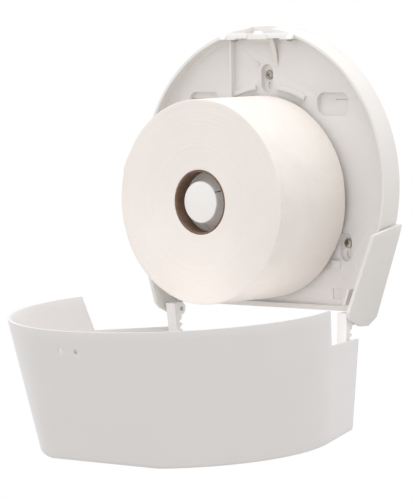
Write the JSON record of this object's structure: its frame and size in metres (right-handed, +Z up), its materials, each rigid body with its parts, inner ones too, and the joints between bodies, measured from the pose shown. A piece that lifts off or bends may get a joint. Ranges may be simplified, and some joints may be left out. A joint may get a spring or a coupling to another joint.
{
  "type": "jumbo toilet roll dispenser",
  "caption": "Wall-mounted jumbo toilet roll dispenser with a round back plate, a paper roll on its hub and a deep white cover that hangs open on two toothed hinge arms.",
  "frame": {"origin": "where the roll's axis meets the wall plane, on the back plate's rear face", "axes": "+X to the right seen from the room, -Y out of the wall into the room, +Z up"},
  "size_m": [0.312, 0.3326, 0.3926],
  "materials": {
    "tray_plastic": "semi-gloss white ABS",
    "hub_plastic": "semi-gloss white ABS",
    "tissue_paper": "soft matt tissue",
    "core_cardboard": "matt grey-brown board",
    "lock_plastic": "semi-gloss white ABS",
    "spring_plastic": "satin white acetal",
    "zinc_steel": "zinc plated",
    "small_screw_steel": "zinc plated",
    "pin_steel": "bright steel",
    "cover_plastic": "gloss white ABS",
    "arm_plastic": "semi-gloss white ABS"
  },
  "bodies": {
    "base": {"back_plate": "tray_plastic", "hub": "hub_plastic", "hub_cap": "hub_plastic", "lock_housing": "lock_plastic", "lock_spring": "spring_plastic", "top_wall_screw": "zinc_steel", "left_wall_screw": "zinc_steel", "right_wall_screw": "zinc_steel", "hub_screws": "small_screw_steel", "housing_screws": "small_screw_steel", "left_hinge_pin": "pin_steel", "right_hinge_pin": "pin_steel"},
    "cover": {"cover_shell": "cover_plastic", "left_hinge_arm": "arm_plastic", "right_hinge_arm": "arm_plastic", "cover_catch": "lock_plastic", "arm_screws": "small_screw_steel", "catch_screws": "small_screw_steel"},
    "roll": {"paper_roll": "tissue_paper", "roll_core": "core_cardboard"},
    "latch": {"lock_latch": "lock_plastic"}
  },
  "joints": [
    {"name": "cover_hinge", "type": "hinge", "parent": "base", "child": "cover", "pos_m": [0, -0.0217, -0.1111], "axis": [-1, 0, 0], "range_deg": [0, 92.8]},
    {"name": "roll_spin", "type": "hinge", "parent": "base", "child": "roll", "pos_m": [0, -0.06205, 0], "axis": [0, 1, 0], "continuous": true},
    {"name": "latch_press", "type": "slide", "parent": "base", "child": "latch", "axis": [0, 0, -1], "range_m": [0, 0.004], "stiffness_N_per_m": 1500, "springref_m": -0.001, "deforming": ["lock_spring"]}
  ]
}
